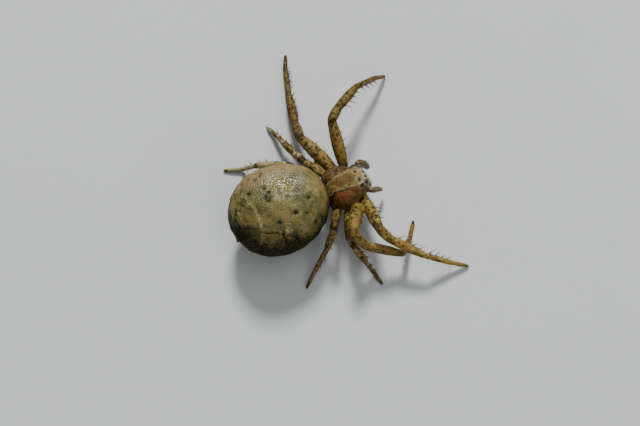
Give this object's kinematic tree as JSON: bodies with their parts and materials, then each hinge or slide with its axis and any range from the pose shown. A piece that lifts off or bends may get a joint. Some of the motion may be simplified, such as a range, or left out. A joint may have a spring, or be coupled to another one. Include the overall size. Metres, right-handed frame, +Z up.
{
  "type": "ground crab spider",
  "caption": "Still life-size crab spider: broad globe abdomen, rounded shield, long spined front legs held forward and out, shorter rear legs.",
  "frame": {"origin": "on the floor, under the middle of the whole spider's box", "axes": "+Z up, -Y the way the head points, +X the spider's left"},
  "size_m": [0.0198, 0.0144, 0.0052],
  "materials": {
    "abdomen_skin": "pale tan skin, satin, with fine wrinkles and small dark pits",
    "carapace_shell": "smooth red-brown shell with a pale middle band, satin",
    "leg_shell": "ochre brown shell with dark speckles, satin",
    "jaw_shell": "yellow-brown shell, satin, with dark fangs",
    "eye_lens": "glossy near-black lens"
  },
  "bodies": {
    "root": {"cephalothorax": "carapace_shell", "abdomen": "abdomen_skin", "eye_anterior_median_left": "eye_lens", "eye_anterior_lateral_left": "eye_lens", "eye_posterior_median_left": "eye_lens", "eye_posterior_lateral_left": "eye_lens", "eye_anterior_median_right": "eye_lens", "eye_anterior_lateral_right": "eye_lens", "eye_posterior_median_right": "eye_lens", "eye_posterior_lateral_right": "eye_lens", "chelicera_left": "jaw_shell", "pedipalp_left": "leg_shell", "leg1_left_femur": "leg_shell", "leg1_left_tibia": "leg_shell", "leg1_left_metatarsus": "leg_shell", "leg2_left_femur": "leg_shell", "leg2_left_tibia": "leg_shell", "leg2_left_metatarsus": "leg_shell", "leg3_left_femur": "leg_shell", "leg3_left_tibia": "leg_shell", "leg3_left_metatarsus": "leg_shell", "leg4_left_femur": "leg_shell", "leg4_left_tibia": "leg_shell", "leg4_left_metatarsus": "leg_shell", "chelicera_right": "jaw_shell", "pedipalp_right": "leg_shell", "leg1_right_femur": "leg_shell", "leg1_right_tibia": "leg_shell", "leg1_right_metatarsus": "leg_shell", "leg2_right_femur": "leg_shell", "leg2_right_tibia": "leg_shell", "leg2_right_metatarsus": "leg_shell", "leg3_right_femur": "leg_shell", "leg3_right_tibia": "leg_shell", "leg3_right_metatarsus": "leg_shell", "leg4_right_femur": "leg_shell", "leg4_right_tibia": "leg_shell", "leg4_right_metatarsus": "leg_shell"}
  },
  "joints": []
}
